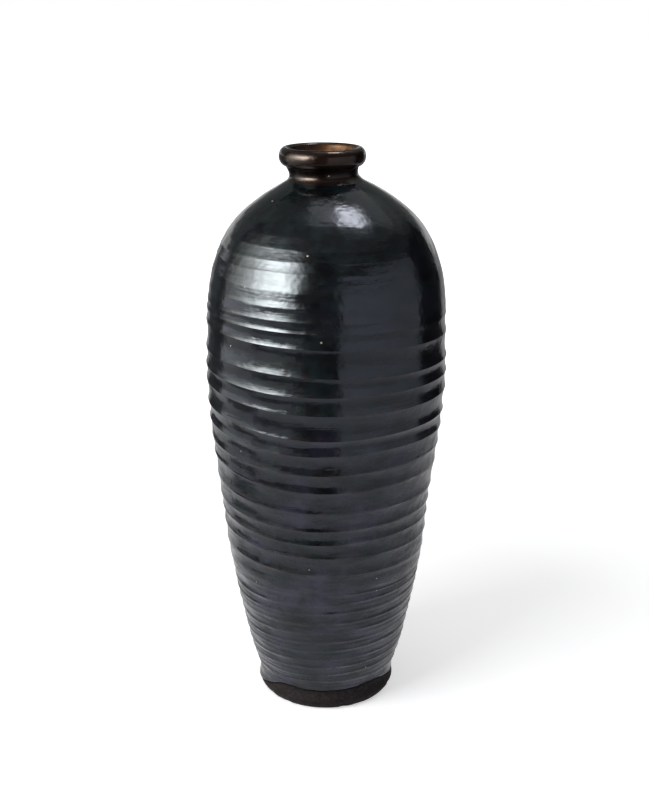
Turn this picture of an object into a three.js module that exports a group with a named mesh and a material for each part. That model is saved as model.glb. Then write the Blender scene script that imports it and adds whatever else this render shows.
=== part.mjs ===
// A tall iron-glazed stoneware vase, thrown on the wheel in sections that are luted one on another:
// a turned foot with the floor, a finely ridged lower wall, a broadly ridged upper wall, a domed
// shoulder, a short neck and a rolled lip. Millimetres, +Z up, the front of the vase towards -Y.
// The origin is the middle of the foot, on the surface that the vase stands on.
import * as THREE from "three";

// Heights of the sections, from the table up
const FOOT_HEIGHT = 14;
const LOWER_WALL_HEIGHT = 93;
const UPPER_WALL_HEIGHT = 181;
const SHOULDER_HEIGHT = 89.5;
const NECK_HEIGHT = 9.5;
const LIP_HEIGHT = 13;

// Outer radii
const REST_RADIUS = 46.4;
const COLLAR_RADIUS = 50.3;
const CREASE_RADIUS = 49;
const BODY_RADIUS = 84.6;
const NECK_FOOT_RADIUS = 26.6;
const NECK_RADIUS = 23.6;
const LIP_FOOT_RADIUS = 24.9;
const LIP_RADIUS = 29.5;

// Foot: a bulging collar over a flat ring, with a shallow turned recess inside the ring
const COLLAR_HEIGHT = 7;
const RECESS_RADIUS = 37.5;
const RECESS_DEPTH = 5.5;
const RECESS_SLOPE = 1.5;
const FLOOR_THICKNESS = 8;
const FLOOR_COVE = 10;

// Hollow: the wall is measured square to the surface, and the neck has a straight bore
const WALL_THICKNESS = 7.5;
const NECK_BORE_RADIUS = 18;
const NECK_SEAT_THICKNESS = 3;
const MOUTH_RADIUS = 22.2;
const MOUTH_ROUNDING = 4;

// Joints: a flat ledge outside, and a tongue inside that stands up into the next section
const WALL_LEDGE = 4;
const NECK_LEDGE = 6;
const LIP_LEDGE = 4.3;
const WALL_TONGUE = 6;
const NECK_TONGUE = 3.5;
const SLIP_GAP = 0.3;

// Throwing ridges, and how far the neck leans aside, from just under its foot to the lip's foot
const RIDGE_DEPTH = 1.2;
const NECK_LEAN = 2.6;
const LEAN_BELOW_NECK = 4.5;

// The body's outline from the crease to the foot of the neck: shares of the body's height and of
// its largest radius
const BODY_OUTLINE_SHARES = [
  [0.04, 0.63],
  [0.085, 0.684],
  [0.15, 0.741],
  [0.28, 0.845],
  [0.455, 0.932],
  [0.63, 1],
  [0.72, 0.991],
  [0.79, 0.971],
  [0.83, 0.943],
  [0.875, 0.882],
  [0.92, 0.771],
  [0.952, 0.636],
  [0.98, 0.478],
];

// How high each ridge is against its neighbours, from the bottom of its section to the top
const LOWER_RIDGE_SHARES = [1.3, 0.85, 0.9, 0.9, 1.1, 0.95, 1, 1, 1.1, 0.95, 1, 1];
const UPPER_RIDGE_SHARES = [0.86, 1.1, 0.9, 0.8, 1.05, 1.3, 1, 1.1, 1, 1.1, 0.75, 0.9, 1, 1.14];
const SHOULDER_RIDGE_SHARES = [0.9, 0.9, 1, 0.75, 1.15, 0.95, 1, 0.8, 1.1, 1.4];

// How deep the ridges are at shares of the body's height, as shares of RIDGE_DEPTH
const RIDGE_DEPTH_SHARES = [
  [0, 0.4],
  [0.22, 0.5],
  [0.3, 1],
  [0.68, 1],
  [0.78, 0.3],
  [0.92, 0.2],
  [1, 0],
];

// Rows of points that make one ridge: the height share above its crest, and the dip there as a
// share of the depth. A finger leaves a hollow, and two hollows meet in a sharp crest.
const CREST_ROW_SHARES = [0, 0];
const HOLLOW_ROW_SHARES = [0.5, 1];
const LOW_HOLLOW_ROW_SHARES = [0.3, 0.92];
const HIGH_HOLLOW_ROW_SHARES = [0.68, 0.92];
const FINE_RIDGE = [CREST_ROW_SHARES, HOLLOW_ROW_SHARES];
const BROAD_RIDGE = [CREST_ROW_SHARES, LOW_HOLLOW_ROW_SHARES, HIGH_HOLLOW_ROW_SHARES];

// Fineness of the mesh
const SEGMENTS = 40;
const OUTLINE_STEPS = 120;
const CAVITY_STEPS = 26;
const COVE_STEPS = 3;
const COLLAR_STEPS = 3;
const NECK_STEPS = 6;
const LIP_STEPS = 9;
const MOUTH_STEPS = 3;

// Levels of the joints
const LOWER_FOOT = FOOT_HEIGHT;
const UPPER_FOOT = LOWER_FOOT + LOWER_WALL_HEIGHT;
const SHOULDER_FOOT = UPPER_FOOT + UPPER_WALL_HEIGHT;
const NECK_FOOT = SHOULDER_FOOT + SHOULDER_HEIGHT;
const LIP_FOOT = NECK_FOOT + NECK_HEIGHT;
const BODY_HEIGHT = NECK_FOOT - LOWER_FOOT;
const FLOOR_TOP = RECESS_DEPTH + FLOOR_THICKNESS;

const point = (radius, height) => new THREE.Vector2(radius, height);
const steps = (count, make) => Array.from({ length: count + 1 }, (_, i) => make(i / count));

// The value at a place on a line of [place, value] pairs that rises in place
function valueAt(line, place) {
  const above = line.findIndex(([x]) => x >= place);
  if (above === -1) return line.at(-1)[1];
  if (above === 0) return line[0][1];
  const [x0, y0] = line[above - 1];
  const [x1, y1] = line[above];
  return y0 + ((y1 - y0) * (place - x0)) / (x1 - x0);
}

// The body's smooth outline: a centripetal curve through the crease, the shares and the neck's foot
function bodyOutline(count) {
  const inner = BODY_OUTLINE_SHARES.map(
    ([up, out]) => new THREE.Vector3(out * BODY_RADIUS, LOWER_FOOT + up * BODY_HEIGHT, 0),
  );
  const curve = new THREE.CatmullRomCurve3(
    [
      new THREE.Vector3(CREASE_RADIUS, LOWER_FOOT, 0),
      ...inner,
      new THREE.Vector3(NECK_FOOT_RADIUS, NECK_FOOT, 0),
    ],
    false,
    "centripetal",
  );
  return curve.getSpacedPoints(count).map(({ x, y }) => point(x, y));
}

const outline = bodyOutline(OUTLINE_STEPS).map(({ x, y }) => [y, x]);
const outlineRadius = (height) => valueAt(outline, height);

// The cavity's outline, floor to neck: a cove off the floor, the body's outline moved in by the
// wall's thickness along its normal, and the edge of the neck's bore
function cavityOutline() {
  const skin = bodyOutline(CAVITY_STEPS);
  const moved = skin.slice(1).map((end, i) => {
    const start = skin[i];
    const along = end.clone().sub(start).normalize();
    const middle = start.clone().add(end).multiplyScalar(1 / 2);
    return point(middle.x - along.y * WALL_THICKNESS, middle.y + along.x * WALL_THICKNESS);
  });
  const coveTop = FLOOR_TOP + FLOOR_COVE;
  const seat = point(NECK_BORE_RADIUS, NECK_FOOT - NECK_SEAT_THICKNESS);
  const wall = moved.filter(({ x, y }) => y > coveTop && y < seat.y && x > seat.x);
  const coveCentre = valueAt(moved.map(({ x, y }) => [y, x]), coveTop) - FLOOR_COVE;
  const cove = steps(COVE_STEPS, (share) => {
    const angle = (share * Math.PI) / 2;
    return point(
      coveCentre + FLOOR_COVE * Math.sin(angle),
      coveTop - FLOOR_COVE * Math.cos(angle),
    );
  });
  return [...cove, ...wall, seat];
}

const cavity = cavityOutline();
const cavityRadius = (height) => valueAt(cavity.map(({ x, y }) => [y, x]), height);
const cavityBetween = (low, high) => cavity.filter(({ y }) => y > low && y < high).reverse();

// The top of a section: in along the ledge, up the tongue and over it to the bore
function tongueTop(outer, level, ledge, tongue, bore) {
  return [
    point(outer - ledge - SLIP_GAP, level),
    point(outer - ledge - SLIP_GAP, level + tongue),
    point(bore, level + tongue),
  ];
}

// The foot of a section: over the top of the tongue below, down its outside and out to the ledge
function rebateFoot(outer, level, ledge, tongue, bore) {
  return [
    point(bore, level + tongue + SLIP_GAP),
    point(outer - ledge, level + tongue + SLIP_GAP),
    point(outer - ledge, level),
  ];
}

// A profile of radius and height turned about Z, its first angle at the front, towards -Y
function turn(profile) {
  return new THREE.LatheGeometry(profile, SEGMENTS).rotateX(Math.PI / 2);
}

// The rows of one section's outer face, ridge by ridge. A row knows its place in turns of the
// throwing spiral, counted in ridges from the section's foot, and its dip below the outline.
function ridgeRows(ridgeShares, ridge) {
  const count = ridgeShares.length;
  const rows = [];
  for (let number = 0; number <= count; number += 1) {
    for (const [up, dip] of ridge) {
      rows.push({ turns: number + up, dip });
    }
  }
  rows.push({ turns: count + 1, dip: CREST_ROW_SHARES[1] });
  return rows;
}

// Heights of the ridges' crests in one section, as pairs of turns and height
function crestHeights(ridgeShares, low, high) {
  const total = ridgeShares.reduce((sum, share) => sum + share, 0);
  let height = low;
  return [0, ...ridgeShares].map((share, turns) => {
    height += (share / total) * (high - low);
    return [turns, height];
  });
}

// One hollow wall section. The potter's fingers climb by one ridge in each turn of the wheel, so
// each row of the outer face sinks by one ridge on its way round, counted from the front, and ends
// on the row that began one ridge lower. Rows that would leave the section stop at its end crest,
// and the hollows run out over the half ridge before it.
function wallSection({ low, high, ridgeShares, ridge, top, foot }) {
  const crests = crestHeights(ridgeShares, low, high);
  const rows = ridgeRows(ridgeShares, ridge);
  const outerFace = rows.map(() => point(0, 0));
  const closing = point(0, 0);
  const profile = [...outerFace, ...top, ...cavityBetween(foot[0].y, top.at(-1).y), ...foot, closing];
  const geometry = turn(profile);
  const position = geometry.attributes.position;
  for (let i = 0; i < position.count; i += 1) {
    const row = rows[i % profile.length] ?? ((i + 1) % profile.length === 0 ? rows[0] : null);
    if (!row) continue;
    const round = Math.floor(i / profile.length) / SEGMENTS;
    const sunk = row.turns - round;
    const toEnd = Math.min(sunk, ridgeShares.length - sunk);
    const dip = row.dip * THREE.MathUtils.clamp(2 * toEnd, 0, 1);
    const height = valueAt(crests, sunk);
    const depth = RIDGE_DEPTH * valueAt(RIDGE_DEPTH_SHARES, (height - LOWER_FOOT) / BODY_HEIGHT);
    const radius = outlineRadius(height) - depth * dip;
    const angle = round * 2 * Math.PI;
    position.setXYZ(i, radius * Math.sin(angle), -radius * Math.cos(angle), height);
  }
  return geometry;
}

// Draws a piece aside towards -X, level by level, as the neck leans. The piece's own zero lies at
// the height called level.
function lean(geometry, level) {
  const position = geometry.attributes.position;
  for (let i = 0; i < position.count; i += 1) {
    const height = level + position.getZ(i);
    const share = THREE.MathUtils.smoothstep(height, NECK_FOOT - LEAN_BELOW_NECK, LIP_FOOT);
    position.setX(i, position.getX(i) - NECK_LEAN * share);
  }
  return geometry;
}

// The turned foot with the floor of the vase: a recess below, a bulging collar, the first joint
function footBase() {
  const collar = steps(2 * COLLAR_STEPS, (share) => {
    const height = share < 1 / 2 ? 2 * share * COLLAR_HEIGHT
      : COLLAR_HEIGHT + (2 * share - 1) * (FOOT_HEIGHT - COLLAR_HEIGHT);
    const end = share < 1 / 2 ? REST_RADIUS : CREASE_RADIUS;
    return point(COLLAR_RADIUS - (COLLAR_RADIUS - end) * (2 * share - 1) ** 2, height);
  });
  const tongueTopHeight = FOOT_HEIGHT + WALL_TONGUE;
  const tongue = tongueTop(CREASE_RADIUS, FOOT_HEIGHT, WALL_LEDGE, WALL_TONGUE,
    cavityRadius(tongueTopHeight));
  return turn([
    point(0, RECESS_DEPTH),
    point(RECESS_RADIUS - RECESS_SLOPE, RECESS_DEPTH),
    point(RECESS_RADIUS, 0),
    ...collar,
    ...tongue,
    ...cavityBetween(0, tongueTopHeight),
    point(0, FLOOR_TOP),
  ]);
}

function lowerBody() {
  const topRadius = outlineRadius(UPPER_FOOT);
  const topBore = cavityRadius(UPPER_FOOT + WALL_TONGUE);
  const footBore = cavityRadius(LOWER_FOOT + WALL_TONGUE + SLIP_GAP);
  return wallSection({
    low: LOWER_FOOT,
    high: UPPER_FOOT,
    ridgeShares: LOWER_RIDGE_SHARES,
    ridge: FINE_RIDGE,
    top: tongueTop(topRadius, UPPER_FOOT, WALL_LEDGE, WALL_TONGUE, topBore),
    foot: rebateFoot(CREASE_RADIUS, LOWER_FOOT, WALL_LEDGE, WALL_TONGUE, footBore),
  });
}

function upperBody() {
  const topRadius = outlineRadius(SHOULDER_FOOT);
  const footRadius = outlineRadius(UPPER_FOOT);
  const topBore = cavityRadius(SHOULDER_FOOT + WALL_TONGUE);
  const footBore = cavityRadius(UPPER_FOOT + WALL_TONGUE + SLIP_GAP);
  return wallSection({
    low: UPPER_FOOT,
    high: SHOULDER_FOOT,
    ridgeShares: UPPER_RIDGE_SHARES,
    ridge: BROAD_RIDGE,
    top: tongueTop(topRadius, SHOULDER_FOOT, WALL_LEDGE, WALL_TONGUE, topBore),
    foot: rebateFoot(footRadius, UPPER_FOOT, WALL_LEDGE, WALL_TONGUE, footBore),
  });
}

// The dome, whose top carries the neck on a flat seat round the bore
function shoulder() {
  const footRadius = outlineRadius(SHOULDER_FOOT);
  const footBore = cavityRadius(SHOULDER_FOOT + WALL_TONGUE + SLIP_GAP);
  return lean(
    wallSection({
      low: SHOULDER_FOOT,
      high: NECK_FOOT,
      ridgeShares: SHOULDER_RIDGE_SHARES,
      ridge: FINE_RIDGE,
      top: tongueTop(NECK_FOOT_RADIUS, NECK_FOOT, NECK_LEDGE, NECK_TONGUE, NECK_BORE_RADIUS),
      foot: rebateFoot(footRadius, SHOULDER_FOOT, WALL_LEDGE, WALL_TONGUE, footBore),
    }),
    0,
  );
}

// The neck, from its own foot: a hollow curve that is narrowest half way up
function neckCollar() {
  const outside = steps(NECK_STEPS, (share) => {
    const end = share < 1 / 2 ? NECK_FOOT_RADIUS : LIP_FOOT_RADIUS;
    const radius = NECK_RADIUS + (end - NECK_RADIUS) * (2 * share - 1) ** 2;
    return point(radius, share * NECK_HEIGHT);
  });
  const profile = [
    ...outside,
    ...tongueTop(LIP_FOOT_RADIUS, NECK_HEIGHT, LIP_LEDGE, NECK_TONGUE, NECK_BORE_RADIUS),
    ...rebateFoot(NECK_FOOT_RADIUS, 0, NECK_LEDGE, NECK_TONGUE, NECK_BORE_RADIUS),
    outside[0],
  ];
  return lean(turn(profile), NECK_FOOT);
}

// The lip, from its own foot: a roll outside, rounded over the top into the flare of the mouth
function rolledLip() {
  const roll = steps(LIP_STEPS, (share) => {
    const angle = (share - 1 / 2) * Math.PI;
    return point(
      LIP_FOOT_RADIUS + (LIP_RADIUS - LIP_FOOT_RADIUS) * Math.cos(angle),
      (LIP_HEIGHT / 2) * (1 + Math.sin(angle)),
    );
  });
  const mouth = steps(MOUTH_STEPS, (share) => {
    const angle = (share * Math.PI) / 2;
    return point(
      LIP_FOOT_RADIUS - (LIP_FOOT_RADIUS - MOUTH_RADIUS) * Math.sin(angle),
      LIP_HEIGHT - MOUTH_ROUNDING * (1 - Math.cos(angle)),
    );
  });
  return turn([
    ...roll,
    ...mouth.slice(1),
    ...rebateFoot(LIP_FOOT_RADIUS, 0, LIP_LEDGE, NECK_TONGUE, NECK_BORE_RADIUS),
    roll[0],
  ]);
}

// Finishes: bare iron-washed clay at the foot, glaze that breaks from blue-black to brown-black
const bareClay = { color: "#2e211b", roughness: 0.65, metalness: 0 };
const blackGlaze = { color: "#15191c", roughness: 0.2, metalness: 0 };
const brownGlaze = { color: "#241713", roughness: 0.18, metalness: 0 };

function piece(name, geometry, finish) {
  geometry.computeVertexNormals();
  const mesh = new THREE.Mesh(geometry, new THREE.MeshStandardMaterial(finish));
  mesh.name = name;
  return mesh;
}

const mouth = new THREE.Group();
mouth.position.z = NECK_FOOT;
mouth.add(piece("neck_collar", neckCollar(), brownGlaze));
const lip = piece("rolled_lip", rolledLip(), brownGlaze);
lip.position.set(-NECK_LEAN, 0, NECK_HEIGHT);
mouth.add(lip);

const vase = new THREE.Group();
vase.add(piece("foot_base", footBase(), bareClay));
vase.add(piece("lower_body", lowerBody(), blackGlaze));
vase.add(piece("upper_body", upperBody(), blackGlaze));
vase.add(piece("shoulder", shoulder(), blackGlaze));
vase.add(mouth);

export default vase;
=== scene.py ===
"""Looks of a ridged stoneware bottle vase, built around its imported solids.

The vase stands on z = 0 at the origin, with its front towards -Y, and all lengths are in metres.
Each thrown section is one closed shell whose outside is a surface of two parameters: how many
turns of the throwing spiral lie under a point, and the angle round the wheel.
"""
from math import pi, radians

import bmesh
import bpy
import numpy as np
from bpy.props import FloatProperty, FloatVectorProperty, IntProperty, PointerProperty
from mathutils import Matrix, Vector


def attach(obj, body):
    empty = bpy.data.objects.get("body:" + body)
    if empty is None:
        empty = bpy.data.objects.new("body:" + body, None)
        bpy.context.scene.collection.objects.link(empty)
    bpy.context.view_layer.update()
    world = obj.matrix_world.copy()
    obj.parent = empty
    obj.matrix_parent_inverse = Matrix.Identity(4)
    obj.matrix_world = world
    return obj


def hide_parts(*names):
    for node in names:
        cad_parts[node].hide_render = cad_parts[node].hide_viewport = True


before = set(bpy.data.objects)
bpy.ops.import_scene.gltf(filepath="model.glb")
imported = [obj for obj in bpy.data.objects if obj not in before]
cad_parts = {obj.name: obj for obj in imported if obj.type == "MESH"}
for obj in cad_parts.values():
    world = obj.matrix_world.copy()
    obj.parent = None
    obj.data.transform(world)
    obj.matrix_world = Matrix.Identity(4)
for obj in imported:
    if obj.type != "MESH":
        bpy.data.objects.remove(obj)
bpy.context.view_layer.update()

bl_info = {
    "name": "Ridged bottle vase",
    "version": (1, 0, 0),
    "blender": (4, 5, 0),
    "location": "3D View > Sidebar > Vase",
    "description": "Builds a wheel-thrown, iron-glazed bottle vase and the studio it stands in",
    "category": "Add Mesh",
}

MM = 0.001

# Heights of the joints between the sections, and the wall's radii at three of them, in millimetres
FOOT_TOP, LOWER_TOP, UPPER_TOP, NECK_FOOT, LIP_FOOT = 14, 107, 290.6, 377.5, 387
CREASE_RADIUS, NECK_FOOT_RADIUS, LIP_FOOT_RADIUS = 49.35, 26.5, 24.8

# The laps under the neck and the lip, in millimetres: their ledges and the height of both tongues,
# and the heights where the cavity's wall ends and the neck's bore begins
NECK_LEDGE, LIP_LEDGE, MOUTH_TONGUE = 6, 4.3, 3.5
CAVITY_TOP, BORE_FOOT = 370, 374.5

# Heights in millimetres over which the ridges fade out on the shoulder's right, over which they
# set in at the lower wall's front, over which the mouth's lean sets in, and over which the glaze
# thickens to a pool round the neck's foot
RIDGES_OUT, RIDGES_IN, LEANING, POOLING = (284, 294), (98, 118), (373, LIP_FOOT), (367, 373.5)

# Where the crests sag, the lowest ridges fade and the twin ridges fade, as the middle and the
# spread of a bell curve of the angle from the front, in radians
SAGGING, LOW_FADING, TWIN_FADING = (-0.2, 0.7), (-0.25, 0.45), (-0.2, 0.5)

# How far below and above its edge the glaze grows from nothing to its whole thickness, in
# millimetres, and where it rolls up above the edge and where a painted shadow line lies below it,
# as the middle and the spread of a bell curve of the distance above the edge
GLAZE_GROWS, GLAZE_ROLL, GLAZE_SHADOW = (-0.35, 0.45), (0.9, 0.7), (-0.6, 0.6)

# Where the lower wall is dimpled and where a ring of painted shade runs under the lip, as the
# middle and the spread of bell curves of the angle in degrees and of the height in millimetres
DIMPLED_ROUND, DIMPLED_UP, LIP_SHADE_RING = (60, 16), (132, 38), (385.5, 3)

# Heights in millimetres where the wear on the foot's edge begins, going down, and where it is full
WORN = (3.2, 1.2)

# Points nearer than the first are merged and edges shorter than the second dissolved, in metres,
# and edges that turn by more than the third, in degrees, are shaded sharp
MERGED, DISSOLVED, SHARP = 2e-6, 1e-6, 24

# Rows of points to a ridge in the lower wall and above it, and rows down the cavity's wall
FINE_ROWS, BROAD_ROWS, CAVITY_ROWS = 12, 14, 14

# Rows of points over the foot, the neck and the lip, and the row where the lip's inside begins
FOOT_ROWS, NECK_ROWS, LIP_ROWS, LIP_INSIDE = 36, 26, 64, 38

# The glazed wall over its ridges' crests, as pairs of height and radius in millimetres
OUTLINE = [
    (14, 49.35), (18.4, 50.0), (24.9, 52.1), (31.5, 54.2), (38.2, 56.1), (45, 57.8), (53.4, 59.6),
    (60.8, 61.1), (68.8, 62.8), (76.8, 64.5), (85.6, 66.2), (92.8, 67.4), (100.4, 68.5),
    (107, 69.8), (118.4, 71.6), (132.5, 73.1), (144, 74.1), (154.1, 75.3), (167.9, 77.1),
    (184.4, 79.2), (197.3, 80.8), (211.6, 82.4), (224.8, 83.6), (239, 84.4), (248.8, 84.55),
    (260.5, 84.3), (273.6, 83.9), (290.6, 83.2), (300, 82.3), (308, 81.2), (316, 79.7),
    (324, 77.3), (332.3, 74.4), (340.2, 70.5), (348.2, 65.3), (356, 58.2), (360, 53.6),
    (364, 48.4), (368.2, 42.4), (373.4, 33.9), (377.5, 26.5),
]

# Heights of the spiral's crests at the front, in millimetres, from each section's foot to its top
FINE_CRESTS = [14, 18.4, 24.9, 31.5, 38.2, 45, 53.4, 60.8, 68.8, 76.8, 85.6, 92.8, 100.4, 107]
BROAD_CRESTS = [
    107, 118.4, 132.3, 143.8, 154.3, 167.7, 184.4, 197.3, 211, 222.4, 238.4, 249.9, 261.3, 280,
    290.6, 297.4, 305.6, 316, 327.3, 334.6, 341.4, 348.8, 356, 365.8, 377.5, 389,
]
SHOULDER_TURN = BROAD_CRESTS.index(UPPER_TOP)
NECK_TURN = BROAD_CRESTS.index(NECK_FOOT)

# How far the potter's fingers sink between two crests, as pairs of height and depth in millimetres
HOLLOWS = [
    (14, 0.0), (22, 0.35), (60, 0.55), (101, 0.5), (107, 0), (113, 0.65), (124, 0.8), (195, 0.78),
    (210, 0.85), (218, 1.4), (226, 1.35), (234, 1.15), (238, 0.86), (250, 0.9), (256, 1.0),
    (263, 1.2), (277, 1.15), (284, 0.75), (294, 0.5), (302, 0.32), (311, 0.28), (321, 0.12),
    (329, 0.3), (336, 0.2), (365, 0.12), (377.5, 0),
]

# How high a second, finer ridge stands in each hollow, as pairs of height and rise in millimetres
TWINS = [(14, 0), (24, 0.11), (92, 0.11), (104, 0), (377.5, 0)]

# How unevenly deep the hollows are round the pot, as pairs of height in millimetres and share
PLAY = [(14, 0.4), (100, 0.4), (116, 0.15), (205, 0.15), (220, 0.05), (377.5, 0.05)]

# How far the crests hang down at the front and the left, as pairs of height and drop in millimetres
FRONT_SAG = [
    (107, 0), (118, 1.6), (130, 2.2), (150, 3.5), (165, 4.2), (222, 4.4), (232, 3.2), (242, 2),
    (262, 0),
]

# How far the wheel's axis wanders sideways, as pairs of height and shift in millimetres
WANDER = [
    (14, -0.2), (105, -0.3), (130, -0.6), (160, -0.9), (200, -0.4), (240, 0), (290, 0), (310, 0.4),
    (366, 0.5), (377.5, 0.2), (387, 0),
]

# The glaze's lower edge, as pairs of angle in degrees from the front and height in millimetres
GLAZE_EDGE = [
    (-180, 11.5), (-140, 13), (-110, 9.5), (-79, 6.2), (-58, 11), (-39, 16.1), (-15, 16.2),
    (0, 15.8), (25, 17), (43, 17.8), (60, 15.5), (78, 12.4), (110, 14.5), (145, 16), (180, 11.5),
]

# The foot below the lower wall, the neck and the lip, as pairs of radius and height in millimetres
FOOT_OUTSIDE = [
    (46.1, 0), (46.7, 0.5), (48.1, 2.2), (49.5, 4.2), (50.25, 6.6), (49.95, 9), (49.35, 11.6),
    (49.35, 14),
]
NECK_OUTSIDE = [
    (26.5, 377.5), (24.6, 379.4), (23.6, 381.4), (23.5, 383.2), (24, 385.2), (24.8, 387),
]
LIP_OUTSIDE = [
    (24.8, 387), (27.3, 388.4), (28.9, 390.6), (29.5, 393.4), (29.2, 396.2), (28, 398.4),
    (26.2, 399.7), (24.7, 399.8), (23.3, 398.8), (22.2, 396.4), (20.4, 393.2), (18, 390.5),
]

# The recess under the foot, as pairs of radius and height in millimetres, and the cove round the
# floor, as pairs of distance from the bore of the foot's tongue and height
FOOT_RECESS = [(0, 5.5), (20, 5.5), (35.2, 5.5), (36.2, 5.1), (37.3, 0.6), (37.9, 0)]
FLOOR_COVE = [(-0.4, 17.5), (-2.4, 15), (-5, 13.9), (-8, 13.5)]

# How deep the chips in the foot's edge are, as pairs of height in millimetres and share
CHIPPED = [(0, 0.5), (2, 1), (4.5, 1), (7.5, 0)]

# Pale grit that melted through the glaze: degrees from the front, height and width in millimetres
SPECKS = [
    (-10, 339.2, 1.5), (-2.2, 285.6, 1.5), (-55.2, 367.1, 1.2), (-42.2, 316.5, 1.1),
    (-49.5, 275.8, 1.3), (12.5, 236.6, 1.3), (31.8, 33.5, 1.1), (31.3, 100.5, 1.4),
    (30.2, 110.6, 1.2), (-45, 203.1, 1.1), (-9, 121.4, 1.1), (-45.8, 101.6, 1), (8.5, 383.6, 1),
    (104, 262, 1.2), (141, 190, 1.4), (168, 322, 1.1), (-118, 240, 1.3), (-152, 128, 1.2),
    (-95, 66, 1),
]

# Rows of points from a speck's top to its underside, and points round a row
SPECK_ROWS, SPECK_POINTS = 7, 11

# Half a speck's width as a share of the width that it seems to have, and half its thickness as a
# share of that
SPECK_HALF, SPECK_FLAT = 0.42, 0.35


def to_linear(code):
    """An sRGB hex colour such as #2a2422 as linear red, green, blue and 1 for alpha."""
    shares = (int(code[at : at + 2], 16) / 255 for at in (1, 3, 5))
    return (*(s / 12.92 if s <= 0.04045 else ((s + 0.055) / 1.055) ** 2.4 for s in shares), 1.0)


def panel_length(name, description, default):
    """A size in metres that the panel shows."""
    return FloatProperty(name=name, description=description, default=default, unit="LENGTH")


def panel_colour(name, description, code):
    """A colour that the panel shows, from its sRGB hex code."""
    return FloatVectorProperty(
        name=name, description=description, subtype="COLOR", size=4, default=to_linear(code)
    )


class VaseSizes(bpy.types.PropertyGroup):
    """Sizes that the vase's surfaces are worked out from."""

    wall: panel_length("Wall", "Thickness of the thrown wall", 7.5 * MM)
    ledge: panel_length("Ledge", "Width of the flat lap between sections", 4 * MM)
    tongue: panel_length("Tongue", "Height of the lap's tongue", 6 * MM)
    slip: panel_length("Slip", "Thickness of the slip in a lap", 0.3 * MM)
    bore: panel_length("Bore", "Radius of the neck's bore", 18 * MM)
    lean: panel_length("Lean", "How far the lip sits to the left", 2.6 * MM)
    tilt: panel_length("Tilt", "How far the fine ridges climb at the right", 4 * MM)
    glaze: panel_length("Glaze", "Thickness of the glaze at its edge", 0.4 * MM)
    columns: IntProperty(name="Columns", description="Faces round the vase", default=288, min=48)


class VaseColours(bpy.types.PropertyGroup):
    """Colours of the glazes and of the bare clay, before any light falls on them."""

    blue_black: panel_colour("Blue-black glaze", "Thick iron glaze on the wall", "#07090b")
    brown_break: panel_colour("Brown break", "Thin glaze over crests and edges", "#2c1712")
    violet_black: panel_colour("Violet clouds", "Where the glaze turned milky violet", "#262533")
    green_black: panel_colour("Green clouds", "Where the glaze turned green-black", "#0b1415")
    brown_black: panel_colour("Brown-black glaze", "Glaze on the neck and lip", "#160a06")
    amber: panel_colour("Amber glaze", "Thin glaze inside the mouth", "#7a4c1c")
    bare_clay: panel_colour("Bare clay", "Iron-washed clay of the foot", "#1d1719")
    foot_rim: panel_colour("Foot rim", "Worn clay at the foot's lower edge", "#33281a")
    grit: panel_colour("Grit", "Melted pale grit", "#b9b6a4")


def line(pairs, at):
    """The value at each place on a line of (place, value) pairs: straight between neighbours."""
    places, values = np.array(pairs, float).T
    return np.interp(at, places, values)


def smooth(pairs, at):
    """The value at each place on a smooth curve through (place, value) pairs: a cubic between two
    neighbours, whose slope at each pair is the slope between the pairs on both its sides."""
    places, values = np.array(pairs, float).T
    slopes = np.gradient(values, places)
    low = np.clip(np.searchsorted(places, at, side="right") - 1, 0, len(places) - 2)
    span = places[low + 1] - places[low]
    s = np.clip((at - places[low]) / span, 0, 1)
    return (
        values[low] * (1 + 2 * s) * (1 - s) ** 2
        + slopes[low] * span * s * (1 - s) ** 2
        + values[low + 1] * s**2 * (3 - 2 * s)
        + slopes[low + 1] * span * s**2 * (s - 1)
    )


def ramp(value, low, high):
    """0 at low and beyond, 1 at high and beyond, and a smooth step of 3 s² - 2 s³ between them."""
    s = np.clip((value - low) / (high - low), 0, 1)
    return s * s * (3 - 2 * s)


def bell(value, middle, spread):
    """A bell curve: 1 at the middle, and 1 / e where the value is a spread away from it."""
    return np.exp(-(((value - middle) / spread) ** 2))


def along(profile, count):
    """count points along a smooth curve through a profile of (radius, height) pairs, in metres,
    spaced evenly over the profile's own length."""
    points = np.array(profile, float) * MM
    length = np.r_[0, np.cumsum(np.hypot(*np.diff(points, axis=0).T))]
    at = np.linspace(0, length[-1], count)
    return np.stack([smooth(list(zip(length, side)), at) for side in points.T], axis=1)


def angles(columns):
    """Angles from the back round by the left, the front and the right, one for each column."""
    return np.linspace(-pi, pi, columns + 1)[None, :]


def outer_radius(height):
    """Radius of the glazed wall over its crests at a height in metres."""
    return smooth(OUTLINE, np.asarray(height) / MM) * MM


def inner_profile(low, high, wall):
    """The cavity's (radius, height) rows from high down to low: the outline moved in by the wall's
    thickness, square to itself."""
    height = np.linspace(FOOT_TOP, NECK_FOOT, 400) * MM
    radius = outer_radius(height)
    slope = np.gradient(radius, height)
    square = np.hypot(1, slope)
    moved_height = height + wall * slope / square
    moved_radius = radius - wall / square
    order = np.argsort(moved_height)
    at = np.linspace(high, low, CAVITY_ROWS)
    return np.stack([np.interp(at, moved_height[order], moved_radius[order]), at], axis=1)


def leaned(x, height, lean):
    """x moved to the left above the shoulder, by the lean times a smooth step of the height."""
    return x - lean * ramp(height / MM, *LEANING)


def glaze_cover(angle, height):
    """How much glaze lies at a point, 0 below the glaze's edge and 1 above it, and how far the
    point is above the edge. The edge is a smooth curve of the angle, with small waves of 9 and 23
    to a turn."""
    edge = smooth(GLAZE_EDGE, np.degrees(angle)) * MM
    edge = edge + (0.25 * np.sin(9 * angle + 1) + 0.12 * np.sin(23 * angle)) * MM
    return ramp((height - edge) / MM, *GLAZE_GROWS), height - edge


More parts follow.
